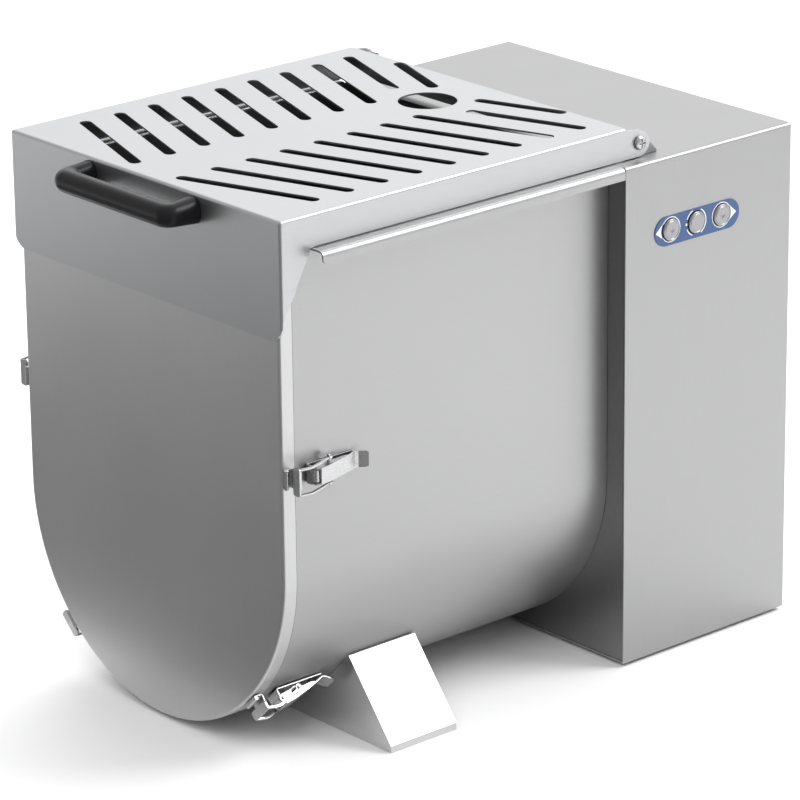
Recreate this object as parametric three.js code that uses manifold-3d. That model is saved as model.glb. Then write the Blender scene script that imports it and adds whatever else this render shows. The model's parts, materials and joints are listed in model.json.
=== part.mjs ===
// Bench-top meat mixer: a fixed U-shaped stainless trough with a slotted hinged lid, a removable end
// panel held by four toggle latches, a sheet-metal saddle foot, and a drive housing with three push buttons.
// Millimetres, +Z up, +X from the handle end towards the drive housing, -Y the operator's side.
import * as THREE from "three";
import { mergeVertices, mergeGeometries } from "three/addons/utils/BufferGeometryUtils.js";
import Module from "manifold-3d";

// ---------------------------------------------------------------- driving dimensions
const SHIFT = [95, 2.5, 0]; // the layout's x = 0 is the bulkhead face, y = 0 the trough's centre plane; the part's origin is its box's bottom centre
const SHEET = 1.5; // stainless sheet
const GAP = 0.3; // clearance between pieces that touch on the real machine

const TROUGH_R = 168.8; // outer radius of the U, and its half width
const AXIS_Z = 172.2; // height of the U's axis and of the mixing shaft
const TROUGH_X0 = -345.7; // panel end
const TROUGH_X1 = -GAP; // housing end
const RIM_X0 = -330;
const RIM_Y = 190; // outer face of the rim, flush with the housing
const RIM_TOP = 450; // flush with the housing's top
const RIM_LOW = 439.5; // the rim folds out and down to here
const END_FLANGE = 10; // turned-in flange that the gasket seals on
const END_FLANGE_TOP = 421.5;

const PANEL_X0 = -359.5; // outer face of the end panel
const PANEL_X1 = TROUGH_X0 - GAP;
const PANEL_T = 2;
const PANEL_TOP = 446;

const LID_X0 = -362;
const LID_X1 = 13;
const LID_HALF = 175.7;
const LID_TOP = 478.5;
const LID_FRONT_LOW = 376.5;
const LID_SIDE_LOW = 451;
const HINGE_X = 29;
const HINGE_Z = 463;
const EAR_R = 12.2;
const HANDLE_Z = 464;
const LABEL = [33.5, 133.5]; // ends of the control label along x
const LABEL_Z = 384.6;

const SLOT_W = 10.5; // slots in the lid, a herringbone about the centre line
const SLOT_TILT = Math.tan((17.2 * Math.PI) / 180);
const SLOT_PITCH = 36.4;
const SLOT_FIRST_X = -304;
const SLOT_OUTER_Y = 153;
const SLOT_INNER_Y = 25.5;
const POUR_HOLE = { x: -51.5, r: 25.5 };

const HOUSE_X1 = 196;
const HOUSE_Y0 = -190; // operator's face
const HOUSE_Y1 = 170;
const HOUSE_Z0 = 3;
const HOUSE_Z1 = 450;

const BUTTON_X = [52, 82, 112];
const BUTTON_Z = 385.5;
const BUTTON_R = 9.7;
const BUTTON_FACE = -192.8;

const FOOT_X0 = -265.8;
const FOOT_X1 = -193.2;
const FOOT_HALF = 190; // half width on the bench
const FOOT_TOP = [135, 71]; // where the slanted sides meet the trough
const FOOT_T = 2;

const GEAR_MODULE = 3.5;
const GEAR_TEETH = 40;
const PINION_TEETH = 10;
const CENTRE_DISTANCE = (GEAR_MODULE * (GEAR_TEETH + PINION_TEETH)) / 2;
const SHAFT_R = 12.5;

const LATCH_X = -316; // bail pivot of each closed latch
const LATCH_Z = 260; // the two upper latches
const LATCH_LOW_ANGLE = 45; // degrees from straight down, the two lower latches

// ---------------------------------------------------------------- solids
const wasm = await Module();
wasm.setup();

function solid(geometry) {
  const g = geometry.clone();
  for (const name of Object.keys(g.attributes)) if (name !== "position") g.deleteAttribute(name);
  const m = mergeVertices(g, 1e-4);
  return new wasm.Manifold(
    new wasm.Mesh({
      numProp: 3,
      vertProperties: new Float32Array(m.attributes.position.array),
      triVerts: new Uint32Array(m.index.array),
    }),
  );
}

function geometryOf(body) {
  const m = body.getMesh();
  const position = new Float32Array(m.numVert * 3);
  for (let i = 0; i < m.numVert; i++)
    for (let k = 0; k < 3; k++) position[3 * i + k] = m.vertProperties[i * m.numProp + k];
  const g = new THREE.BufferGeometry();
  g.setAttribute("position", new THREE.BufferAttribute(position, 3));
  g.setIndex(new THREE.BufferAttribute(new Uint32Array(m.triVerts), 1));
  const flat = g.toNonIndexed();
  flat.computeVertexNormals();
  return flat;
}

const join = (...gs) => geometryOf(gs.map(solid).reduce((a, b) => a.add(b)));
const cut = (g, ...tools) => geometryOf(tools.map(solid).reduce((a, b) => a.subtract(b), solid(g)));

// ---------------------------------------------------------------- primitive helpers
const ALONG_X = new THREE.Matrix4().makeBasis(
  new THREE.Vector3(0, 1, 0), new THREE.Vector3(0, 0, 1), new THREE.Vector3(1, 0, 0));
const ALONG_Y = new THREE.Matrix4().makeBasis(
  new THREE.Vector3(1, 0, 0), new THREE.Vector3(0, 0, 1), new THREE.Vector3(0, -1, 0));

// outlines run counter-clockwise and their holes clockwise, whichever way they were listed
function wound(points, ccw) {
  const v = points.map(([a, b]) => new THREE.Vector2(a, b));
  return THREE.ShapeUtils.isClockWise(v) === ccw ? v.reverse() : v;
}
function outline(points, holes = []) {
  const s = new THREE.Shape(wound(points, true));
  for (const h of holes) s.holes.push(new THREE.Path(wound(h, false)));
  return s;
}
// a (y, z) outline carried along x
function sheetX(points, x0, x1, holes) {
  return new THREE.ExtrudeGeometry(outline(points, holes), { depth: x1 - x0, bevelEnabled: false, steps: 1 })
    .applyMatrix4(ALONG_X).translate(x0, 0, 0);
}
// an (x, z) outline carried along y
function sheetY(points, y0, y1, holes) {
  return new THREE.ExtrudeGeometry(outline(points, holes), { depth: y1 - y0, bevelEnabled: false, steps: 1 })
    .applyMatrix4(ALONG_Y).translate(0, y1, 0);
}
// an (x, y) outline carried along z
function sheetZ(points, z0, z1, holes) {
  return new THREE.ExtrudeGeometry(outline(points, holes), { depth: z1 - z0, bevelEnabled: false, steps: 1 })
    .translate(0, 0, z0);
}
function block(x0, x1, y0, y1, z0, z1) {
  return new THREE.BoxGeometry(x1 - x0, y1 - y0, z1 - z0).translate((x0 + x1) / 2, (y0 + y1) / 2, (z0 + z1) / 2);
}
// a turned piece on the x axis: profile of [x, r] pairs, open ends closed on the axis
function turnedX(profile, segments = 24) {
  const pts = profile.map(([x, r]) => new THREE.Vector2(r, x));
  return new THREE.LatheGeometry(pts, segments).applyMatrix4(
    new THREE.Matrix4().makeBasis(new THREE.Vector3(0, 1, 0), new THREE.Vector3(1, 0, 0), new THREE.Vector3(0, 0, -1)));
}
function rodX(x0, x1, r, segments = 24) {
  return new THREE.CylinderGeometry(r, r, x1 - x0, segments).rotateZ(-Math.PI / 2).translate((x0 + x1) / 2, 0, 0);
}
function rodY(y0, y1, r, segments = 24) {
  return new THREE.CylinderGeometry(r, r, y1 - y0, segments).translate(0, (y0 + y1) / 2, 0);
}
function rodZ(z0, z1, r, segments = 24) {
  return new THREE.CylinderGeometry(r, r, z1 - z0, segments).rotateX(Math.PI / 2).translate(0, 0, (z0 + z1) / 2);
}
function ring(r0, r1, x0, x1, segments = 24) {
  return cut(rodX(x0, x1, r1, segments), rodX(x0 - 1, x1 + 1, r0, segments));
}
// half circle of the U seen along x, from +y round the bottom to -y
function uArc(r, n = 40) {
  const out = [];
  for (let i = 0; i <= n; i++) {
    const a = -(Math.PI * i) / n;
    out.push([r * Math.cos(a), AXIS_Z + r * Math.sin(a)]);
  }
  return out;
}
const uBand = (r1, r0, top) => [[r1, top], ...uArc(r1), [-r1, top], [-r0, top], ...uArc(r0).reverse(), [r0, top]];
const uPlate = (r, top) => [[r, top], ...uArc(r), [-r, top]];

// ---------------------------------------------------------------- materials
const finish = (color, roughness, metalness) => new THREE.MeshStandardMaterial({ color, roughness, metalness });
const steel = () => finish(0xc3c4c6, 0.42, 1);
const bright = () => finish(0xdcdde0, 0.25, 1);
const black = () => finish(0x141516, 0.45, 0);
const rubber = () => finish(0x1c1c1d, 0.8, 0);
const nylon = () => finish(0xe8e6df, 0.55, 0);
const iron = () => finish(0x5e6266, 0.55, 0.9);
const paint = () => finish(0x3d4248, 0.5, 0.1);
const blue = () => finish(0x315f9c, 0.4, 0);

const machine = new THREE.Group();
machine.position.set(...SHIFT);
function piece(parent, name, geometry, material, place) {
  const mesh = new THREE.Mesh(geometry, material);
  mesh.name = name;
  if (place) mesh.position.set(...place);
  parent.add(mesh);
  return mesh;
}

// ---------------------------------------------------------------- trough
{
  const wall = sheetX(uBand(TROUGH_R, TROUGH_R - SHEET, RIM_TOP), TROUGH_X0, TROUGH_X1);
  const endFlange = sheetX(uBand(TROUGH_R, TROUGH_R - END_FLANGE, END_FLANGE_TOP), TROUGH_X0, TROUGH_X0 + SHEET);
  // the rim folds outwards from the wall's top edge and then down
  const rim = (s) => [
    [s * (TROUGH_R - SHEET), RIM_TOP], [s * (TROUGH_R - SHEET), RIM_TOP - SHEET], [s * (RIM_Y - SHEET), RIM_TOP - SHEET],
    [s * (RIM_Y - SHEET), RIM_LOW], [s * RIM_Y, RIM_LOW], [s * RIM_Y, RIM_TOP],
  ];
  piece(machine, "trough", join(wall, endFlange, sheetX(rim(1), RIM_X0, TROUGH_X1), sheetX(rim(-1), RIM_X0, TROUGH_X1)), steel());
}

// ---------------------------------------------------------------- removable end panel
{
  const plate = sheetX(uPlate(TROUGH_R, PANEL_TOP), PANEL_X0, PANEL_X0 + PANEL_T);
  const skirt = sheetX(uBand(TROUGH_R, TROUGH_R - SHEET, PANEL_TOP), PANEL_X0 + 0.5, PANEL_X1);
  piece(machine, "end_panel", join(plate, skirt), steel());
  const inner = TROUGH_R - SHEET - GAP;
  piece(machine, "panel_gasket",
    sheetX(uBand(inner, inner - 8, 418), PANEL_X0 + PANEL_T + GAP, TROUGH_X0 - GAP), rubber());
  piece(machine, "panel_bush",
    turnedX([[-357.2, 12.9], [-357.2, 34], [-352.5, 34], [-352.5, 22], [-346, 22], [-346, 12.9], [-357.2, 12.9]]),
    nylon(), [0, 0, AXIS_Z]);
}

// ---------------------------------------------------------------- lid
{
  // slots, as rounded strips from an outer to an inner end
  const strips = [];
  for (let k = 0; k < 10; k++) {
    const x = SLOT_FIRST_X + k * SLOT_PITCH;
    let ya = SLOT_OUTER_Y, yb = SLOT_INNER_Y, xa = x;
    if (k === 8) yb = 45.5;
    if (k === 9) { ya = 108.2; xa = 7; }
    const xb = xa - (ya - yb) * SLOT_TILT;
    for (const s of [-1, 1]) {
      const a = [xa, s * (ya - SLOT_W / 2)], b = [xb, s * (yb + SLOT_W / 2)];
      const t = Math.atan2(b[1] - a[1], b[0] - a[0]);
      const pts = [];
      for (let i = 0; i <= 4; i++) { const q = t + Math.PI / 2 + (Math.PI * i) / 4;
        pts.push([a[0] + (SLOT_W / 2) * Math.cos(q), a[1] + (SLOT_W / 2) * Math.sin(q)]); }
      for (let i = 0; i <= 4; i++) { const q = t - Math.PI / 2 + (Math.PI * i) / 4;
        pts.push([b[0] + (SLOT_W / 2) * Math.cos(q), b[1] + (SLOT_W / 2) * Math.sin(q)]); }
      strips.push(pts);
    }
  }
  const hole = [];
  for (let i = 0; i < 24; i++) { const q = (-2 * Math.PI * i) / 24;
    hole.push([POUR_HOLE.x + POUR_HOLE.r * Math.cos(q), POUR_HOLE.r * Math.sin(q)]); }
  strips.push(hole);
  const L = LID_HALF;
  const top = sheetZ([[LID_X0, -L], [LID_X1, -L], [LID_X1, L], [LID_X0, L]], LID_TOP - SHEET, LID_TOP, strips);
  const front = sheetX(
    [[-L, LID_TOP - 0.5], [-L, LID_FRONT_LOW + 16], [-L + 4.7, LID_FRONT_LOW + 4.7], [-L + 16, LID_FRONT_LOW],
     [L - 16, LID_FRONT_LOW], [L - 4.7, LID_FRONT_LOW + 4.7], [L, LID_FRONT_LOW + 16], [L, LID_TOP - 0.5]],
    LID_X0, LID_X0 + SHEET);
  const ear = [];
  for (let i = 0; i <= 8; i++) { const q = -Math.PI / 2 + (Math.PI * 0.8 * i) / 8;
    ear.push([HINGE_X + EAR_R * Math.cos(q), HINGE_Z + EAR_R * Math.sin(q)]); }
  const cheek = [
    [LID_X0, LID_TOP - 0.5], [LID_X0, LID_FRONT_LOW + 16], [-348, 415], [-344, 426], [-332, 447], [-330.7, 450.6], [-325, LID_SIDE_LOW],
    ...ear, [LID_X1, LID_TOP - 0.5]];
  const bore = rodY(-200, 200, 4.3, 12).translate(HINGE_X, 0, HINGE_Z);
  const lidGroup = new THREE.Group();
  machine.add(lidGroup);
  // the back edge folds down over the housing
  const back = block(LID_X1 - SHEET, LID_X1, -L + SHEET, L - SHEET, 453.5, LID_TOP - 0.5);
  const body = join(top, front, back, sheetY(cheek, -L, -L + SHEET), sheetY(cheek, L - SHEET, L));
  // screw holes for the handle
  const screwHole = (y) => rodX(LID_X0 - 5, LID_X0 + 8, 3.4, 10).translate(0, y, HANDLE_Z);
  piece(lidGroup, "lid", cut(body, bore, screwHole(-68), screwHole(68)), steel());

  // bridge handle: a rounded bar swept through two posts that grow taller towards the lid
  const H = LID_X0 - GAP, P = -389;
  // the swept section is built by hand, so that each ring keeps z up
  const section = [];
  for (let i = 0; i < 12; i++) { const q = (2 * Math.PI * i) / 12;
    section.push([9 * Math.sign(Math.cos(q)) * Math.abs(Math.cos(q)) ** 0.75, 10.5 * Math.sign(Math.sin(q)) * Math.abs(Math.sin(q)) ** 0.75]); }
  const stations = [[H, -68, 1, 0, 1.1]];
  for (let i = 0; i <= 3; i++) { const q = (Math.PI * i) / 6; // outer corner radius 9, inner 2.5
    stations.push([P + 5.75 - 5.75 * Math.sin(q), -62.25 - 5.75 * Math.cos(q), (11.5 + 6.5 * Math.cos(q)) / 18,
      (11.5 + 6.5 * Math.sin(q)) / 18, 0.98 - 0.02 * i]); }
  const rings = [...stations, ...stations.slice().reverse().map(([x, y, c, s, h]) => [x, -y, -c, s, h])];
  const pos = [], idx = [];
  for (const [x, y, c, s, h] of rings)
    for (const [a, z] of section) pos.push(x - s * a, y - c * a, h * z);
  const n = section.length, R = rings.length;
  for (let j = 0; j + 1 < R; j++)
    for (let i = 0; i < n; i++) { const a = j * n + i, b = j * n + ((i + 1) % n), c = a + n, d = b + n;
      idx.push(a, b, c, b, d, c); }
  for (let i = 1; i + 1 < n; i++) { idx.push(0, i + 1, i); idx.push((R - 1) * n, (R - 1) * n + i, (R - 1) * n + i + 1); }
  const bar = new THREE.BufferGeometry();
  bar.setAttribute("position", new THREE.BufferAttribute(new Float32Array(pos), 3));
  bar.setIndex(idx);
  const made = solid(bar);
  if (made.volume() < 0) for (let i = 0; i < idx.length; i += 3) [idx[i + 1], idx[i + 2]] = [idx[i + 2], idx[i + 1]];
  bar.setIndex(idx);
  piece(lidGroup, "lid_handle", cut(bar, rodX(H - 14, H + 2, 3, 10).translate(0, -68, 0), rodX(H - 14, H + 2, 3, 10).translate(0, 68, 0)),
    black(), [0, 0, HANDLE_Z]);
  for (const [side, s] of [["near", -1], ["far", 1]]) {
    const shank = rodX(H - 12, LID_X0 + SHEET + GAP + 1, 2.6, 10);
    const head = turnedX([[LID_X0 + SHEET + GAP, 0], [LID_X0 + SHEET + GAP, 5.5], [LID_X0 + SHEET + 2.2, 4.8], [LID_X0 + SHEET + 3.2, 0]], 12);
    piece(lidGroup, `handle_screw_${side}`, join(shank, head), bright(), [0, s * 68, HANDLE_Z]);
  }

  // hinge brackets on the housing's top, and the pivot screws through the lid's ears
  for (const [side, s, y0, y1] of [["near", -1, -172, -168.5], ["far", 1, 165.5, 169]]) {
    const plate = [[16, HOUSE_Z1 + GAP], [53, HOUSE_Z1 + GAP], [53, 451.6], [41.5, 463.5], [36.5, 470], [29, 472.5], [21, 470.5], [16, 462]];
    const ym = (y0 + y1) / 2;
    const flange = s < 0 ? block(16, 53, y1 - 1, y1 + 12, HOUSE_Z1 + GAP, HOUSE_Z1 + 2.3)
      : block(16, 53, y0 - 12, y0 + 1, HOUSE_Z1 + GAP, HOUSE_Z1 + 2.3);
    const hb = rodY(-6, 6, 4.3, 12).translate(HINGE_X, ym, HINGE_Z);
    piece(machine, `hinge_bracket_${side}`, cut(join(sheetY(plate, y0, y1), flange), hb), bright());
    const from = s < 0 ? -180.5 : 164.5 - 3, to = s < 0 ? -164.5 : 178.5;
    // the shank runs through both, a low round head outside and a nut inside
    const shank = rodY(s < 0 ? -177 : 162, s < 0 ? -165 : 177, 4, 12);
    const headY = s * (LID_HALF + GAP);
    const head = s < 0
      ? cut(rodY(headY - 3.4, headY, 6.25, 16), block(-5, 5, headY - 4, headY - 2.2, -0.7, 0.7))
      : cut(rodY(headY, headY + 3.4, 6.25, 16), block(-5, 5, headY + 2.2, headY + 4, -0.7, 0.7));
    const nutY = s < 0 ? -168.5 + GAP : 165.5 - GAP;
    const nut = s < 0 ? rodY(nutY, nutY + 4.5, 6.5, 6) : rodY(nutY - 4.5, nutY, 6.5, 6);
    piece(machine, `hinge_screw_${side}`, join(shank, head, nut), bright(), [HINGE_X, 0, HINGE_Z]);
  }
}

// ---------------------------------------------------------------- drive housing
{
  const t = SHEET, y0 = HOUSE_Y0, y1 = HOUSE_Y1, z0 = HOUSE_Z0, z1 = HOUSE_Z1;
  const wrapOutline = [[y0, z0], [y0 + t, z0], [y0 + t, z1 - t], [y1 - t, z1 - t], [y1 - t, z0], [y1, z0], [y1, z1], [y0, z1]];
  const buttonHoles = BUTTON_X.map((x) => rodY(y0 - 5, y0 + 10, BUTTON_R + 0.5, 20).translate(x, 0, BUTTON_Z));
  piece(machine, "housing_wrap", cut(sheetX(wrapOutline, 0, HOUSE_X1), ...buttonHoles), steel());

  const g = GAP, bolts = [45, 135, 225, 315].map((d) => (d * Math.PI) / 180);
  const circle = (cy, cz, r, n) => Array.from({ length: n }, (_, i) => {
    const q = (-2 * Math.PI * i) / n; return [cy + r * Math.cos(q), cz + r * Math.sin(q)]; });
  const inside = [[y0 + t + g, z0 + 2.5], [y1 - t - g, z0 + 2.5], [y1 - t - g, z1 - t - g], [y0 + t + g, z1 - t - g]];
  piece(machine, "bulkhead", sheetX(inside, 0, 3, [circle(0, AXIS_Z, 20, 24)]), steel());

  // rear cover with two rows of vent slots and the cable entry
  const vents = [];
  for (const z of [330, 346, 362, 378]) for (const y of [-70, 50])
    vents.push(block(HOUSE_X1 - 6, HOUSE_X1 + 3, y - 35, y + 35, z - 2.5, z + 2.5));
  piece(machine, "rear_cover", cut(sheetX(inside, HOUSE_X1 - 2.5, HOUSE_X1 - 1), ...vents,
    rodX(HOUSE_X1 - 6, HOUSE_X1 + 3, 8.6, 16).translate(0, -120, 60)), steel());
  piece(machine, "base_plate", block(0.3, HOUSE_X1 - 0.3, y0 + t + g, y1 - t - g, z0, z0 + 2), steel());
  piece(machine, "cable_gland", join(
    rodX(HOUSE_X1 - 14, HOUSE_X1 + 6, 8.2, 16), rodX(HOUSE_X1 - 0.7, HOUSE_X1 + 4, 12, 6),
    turnedX([[HOUSE_X1 + 4, 0], [HOUSE_X1 + 4, 11], [HOUSE_X1 + 8, 10.5], [HOUSE_X1 + 12, 7], [HOUSE_X1 + 12, 0]], 16),
    rodX(HOUSE_X1 - 7.5, HOUSE_X1 - 2.8, 12, 6)), black(), [0, -120, 60]);
  for (const [name, x, y] of [["front_near", 24, -166], ["front_far", 24, 146], ["rear_near", 172, -166], ["rear_far", 172, 146]])
    piece(machine, `rubber_foot_${name}`, rodZ(0, z0 - GAP, 13, 16), rubber(), [x, y, 0]);

  // control label, a thin plate with round ends
  const label = [];
  for (let i = 0; i <= 10; i++) { const q = Math.PI / 2 + (Math.PI * i) / 10; label.push([LABEL[0] + 13 + 13 * Math.cos(q), LABEL_Z + 13 * Math.sin(q)]); }
  for (let i = 0; i <= 10; i++) { const q = -Math.PI / 2 + (Math.PI * i) / 10; label.push([LABEL[1] - 13 + 13 * Math.cos(q), LABEL_Z + 13 * Math.sin(q)]); }
  piece(machine, "control_label", cut(sheetY(label, y0 - 0.7, y0 - 0.2),
    ...BUTTON_X.map((x) => rodY(y0 - 5, y0 + 10, BUTTON_R + 0.5, 20).translate(x, 0, BUTTON_Z))), blue());

  ["forward", "stop", "reverse"].forEach((name, i) => {
    const place = [BUTTON_X[i], 0, BUTTON_Z];
    const cap = new THREE.CylinderGeometry(BUTTON_R, BUTTON_R - 0.8, 0.8, 24).rotateX(0).translate(0, BUTTON_FACE + 0.4, 0);
    piece(machine, `button_${name}`, join(cap, rodY(BUTTON_FACE + 0.8, -187, BUTTON_R, 24), rodY(-187.2, -183.5, 4, 12)),
      bright(), place);
    piece(machine, `switch_${name}`, join(block(-11, 11, -180, -150, -12, 12),
      cut(rodY(-188.1, -179.9, 13, 20), rodY(-189, -178, BUTTON_R + 0.6, 20))), black(), place);
  });
}

// ---------------------------------------------------------------- drive train
function gear(teeth, module, width, x0, boreR) {
  const pitch = (teeth * module) / 2, tip = pitch + 0.9 * module, root = pitch - 1.15 * module, pts = [];
  for (let k = 0; k < teeth; k++) {
    const a = (2 * Math.PI * k) / teeth, p = (2 * Math.PI) / teeth;
    for (const [r, f] of [[root, -0.3], [tip, -0.115], [tip, 0.115], [root, 0.3]])
      pts.push([r * Math.cos(a + f * p), r * Math.sin(a + f * p)]);
  }
  const holes = boreR ? [Array.from({ length: 16 }, (_, i) => {
    const q = (-2 * Math.PI * i) / 16; return [boreR * Math.cos(q), boreR * Math.sin(q)]; })] : [];
  return sheetX(pts, x0, x0 + width, holes);
}
{
  const axle = [0, 0, AXIS_Z], upper = [0, 0, AXIS_Z + CENTRE_DISTANCE];
  piece(machine, "shaft_seal", ring(SHAFT_R + 0.6, 28, -8, -GAP), rubber(), axle);
  piece(machine, "bearing_housing", cut(join(rodX(3.3, 9, 42, 24), rodX(8, 34, 28, 24)), rodX(-10, 60, SHAFT_R + 0.4, 24)), iron(), axle);
  // the driven end of the shaft is a blunt tongue that enters the mixing shaft's socket
  piece(machine, "drive_shaft", join(rodX(-40, 96, SHAFT_R, 24), block(-39.5, -12, -13.6, 13.6, -4, 4)), iron(), axle);
  piece(machine, "main_gear", join(gear(GEAR_TEETH, GEAR_MODULE, 20, 44, SHAFT_R + 0.3),
    ring(SHAFT_R + 0.3, 24, 63, 76, 24)), iron(), axle);
  piece(machine, "pinion", join(gear(PINION_TEETH, GEAR_MODULE, 24, 42, 0), rodX(40, 76, 9, 16)), iron(), upper);
  piece(machine, "gearbox", join(block(78, 128, -42, 42, -40, 45), rodX(76.8, 80, 30, 24)), paint(), upper);
  piece(machine, "motor", join(rodX(128.3, 184, 52, 24), rodX(184, 190, 40, 24), block(135, 178, 45, 72, -22, 22)), paint(), upper);
  piece(machine, "contactor", block(70, 130, 90, 150, 360, 430), black());
  piece(machine, "capacitor", rodZ(330, 420, 20, 16), finish(0xd0d0cc, 0.5, 0), [150, -110, 0]);
}

// ---------------------------------------------------------------- mixing shaft with four paddle arms
{
  const arms = [rodX(-344, -42, 15, 20), turnedX([[-356.8, 0], [-356.8, 10.5], [-355.5, 12.3], [-343, 12.3], [-343, 0]], 20),
    rodX(-44, -10, 22, 20)];
  [[-306, 200], [-230, -20], [-154, 160], [-84, -60]].forEach(([x, deg], i) => {
    const arm = rodZ(8, 118, 7, 12);
    const paddle = block(-31, 31, -3, 3, 104, 154).rotateZ(((i % 2 ? -1 : 1) * 32 * Math.PI) / 180);
    // the paddle's outer edge follows the trough
    for (const g of [arm, paddle]) g.rotateX(((deg - 90) * Math.PI) / 180).translate(x, 0, 0);
    arms.push(arm, paddle);
  });
  const socket = [rodX(-41, 0, SHAFT_R + 0.4, 24), block(-41, 0, -14.1, 14.1, -4.5, 4.5)];
  piece(machine, "mixing_shaft", cut(join(...arms), ...socket), bright(), [0, 0, AXIS_Z]);
}

// ---------------------------------------------------------------- saddle foot
{
  const [ty, tz] = FOOT_TOP, r = TROUGH_R + GAP, a0 = Math.asin((AXIS_Z - tz) / r);
  const arc = [];
  for (let i = 0; i <= 20; i++) { const q = -a0 - ((Math.PI - 2 * a0) * i) / 20; arc.push([r * Math.cos(q), AXIS_Z + r * Math.sin(q)]); }
  const ya = r * Math.cos(a0);
  const plate = [[-FOOT_HALF, 0], [FOOT_HALF, 0], [FOOT_HALF, 6], [ya + 2.4, tz], ...arc, [-ya - 2.4, tz], [-FOOT_HALF, 6]];
  const t = FOOT_T;
  const side = (s) => [[s * FOOT_HALF, 0], [s * FOOT_HALF, 6], [s * (ya + 2.4), tz], [s * ya, tz], [s * (FOOT_HALF - t), 5], [s * (FOOT_HALF - t), 0]];
  piece(machine, "saddle_foot", join(
    sheetX(plate, FOOT_X0, FOOT_X0 + t), sheetX(plate, FOOT_X1 - t, FOOT_X1),
    sheetX(side(1), FOOT_X0, FOOT_X1), sheetX(side(-1).reverse(), FOOT_X0, FOOT_X1)), bright());
}

// ---------------------------------------------------------------- toggle latches
// Local frame of one latch: x away from the end panel, y out of the trough's wall, z along it; the wall is y = 0.
const LEVER_PIVOT = [-16, 10];
const BAIL_PIVOT = [0, 7];
function latch(name, degrees, y, z) {
  const g = new THREE.Group();
  g.position.set(LATCH_X, y, z);
  g.rotation.x = (degrees * Math.PI) / 180;
  machine.add(g);
  const [px, py] = LEVER_PIVOT, [bx, by] = BAIL_PIVOT;
  const eye = (cx, cy, r, n = 10) => Array.from({ length: n }, (_, i) => {
    const q = (2 * Math.PI * i) / n; return [cx + r * Math.cos(q), cy + r * Math.sin(q)]; });

  // base: a strip whose end is rolled round the lever's pin
  piece(g, `latch_base_${name}`, cut(join(block(-20, 30, 0.5, 2, -8, 8), block(-20, -17.5, 0.6, py, -5.2, 5.2),
    rodZ(-5.2, 5.2, 3.6, 14).translate(px, py, 0), rodZ(-8.6, 8.6, 1.6, 10).translate(px, py, 0)),
    rodY(-1, 4, 2.2, 10).translate(22, 0, 0)), bright());

  // lever: a channel that slopes to the wall, with a flared tip and the bail's pin
  const back = [[-15, 14.2], [-4, 12.6], [12, 8.6], [24, 4.8], [30.2, 2.8], [33.6, 3.8], [40.6, 9.2], [39.9, 10.6], [33, 5.5], [30, 4.4],
    [24.4, 6.3], [12.4, 10.1], [-3.6, 14.1], [-15, 15.8]];
  const wing = [[px - 3.7, py], [px - 2.6, py - 2.8], [px + 1, py - 3.8], [-6, 5], [bx - 2.6, by - 3.2], [bx, by - 3.7], [bx + 3, by - 2.9], [8, 5.6],
    [17, 4.6], [23, 5.3], [12.2, 9.4], [-3.8, 13.6], [-15, 15.2], [px - 2.4, py + 3]];
  const wings = [[5.7, 7.2], [-7.2, -5.7]].map(([w0, w1]) => sheetZ(wing, w0, w1, [eye(px, py, 2.1)]));
  piece(g, `latch_lever_${name}`, join(sheetZ(back, -7.2, 7.2), ...wings, rodZ(-13.4, 13.4, 1.5, 10).translate(bx, by, 0)), bright());

  // bail: a flat front strip on two bowed arms with eyes round the lever's pin
  const arm = [[-38.6, 10.5], [-38.6, 15.5], [-33, 17.2], [-26, 17.8], [-17, 16.4], [-8, 13], [bx + 1.6, by + 2.8], [bx + 3, by], [bx + 1.5, by - 2.8],
    [bx - 1.5, by - 2.8], [bx - 3.2, by], [-10, 11], [-18, 13.9], [-26, 15.2], [-33, 14.6], [-36.8, 12.8], [-36.8, 10.5]];
  const arms = [[10, 11.8], [-11.8, -10]].map(([w0, w1]) => sheetZ(arm, w0, w1, [eye(bx, by, 1.9)]));
  piece(g, `latch_bail_${name}`, join(block(-38.6, -36.8, 8, 16.5, -11.8, 11.8), ...arms), bright());

  // keeper on the panel's skirt: a rolled lip, a strip, and the upright that the bail pulls on
  const keeper = [[-30.8, 0.5], [-30.8, 2], [-33.4, 2.2], [-33.9, 8], [-33.4, 13.3], [-35, 13.6], [-35.7, 8], [-35.4, 2.4], [-39.4, 2.2],
    [-39.6, 4.2], [-41.4, 5.2], [-43.2, 4.2], [-43.2, 0.5]];
  piece(g, `latch_keeper_${name}`, sheetZ(keeper, -8.2, 8.2), bright());
}
const low = (LATCH_LOW_ANGLE * Math.PI) / 180;
latch("upper_near", 180, -TROUGH_R, LATCH_Z);
latch("upper_far", 0, TROUGH_R, LATCH_Z);
latch("lower_near", -90 - LATCH_LOW_ANGLE, -TROUGH_R * Math.sin(low), AXIS_Z - TROUGH_R * Math.cos(low));
latch("lower_far", -90 + LATCH_LOW_ANGLE, TROUGH_R * Math.sin(low), AXIS_Z - TROUGH_R * Math.cos(low));

export default machine;
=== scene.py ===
import json
import math

import bmesh
import bpy
from mathutils import Matrix, Vector

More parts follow.
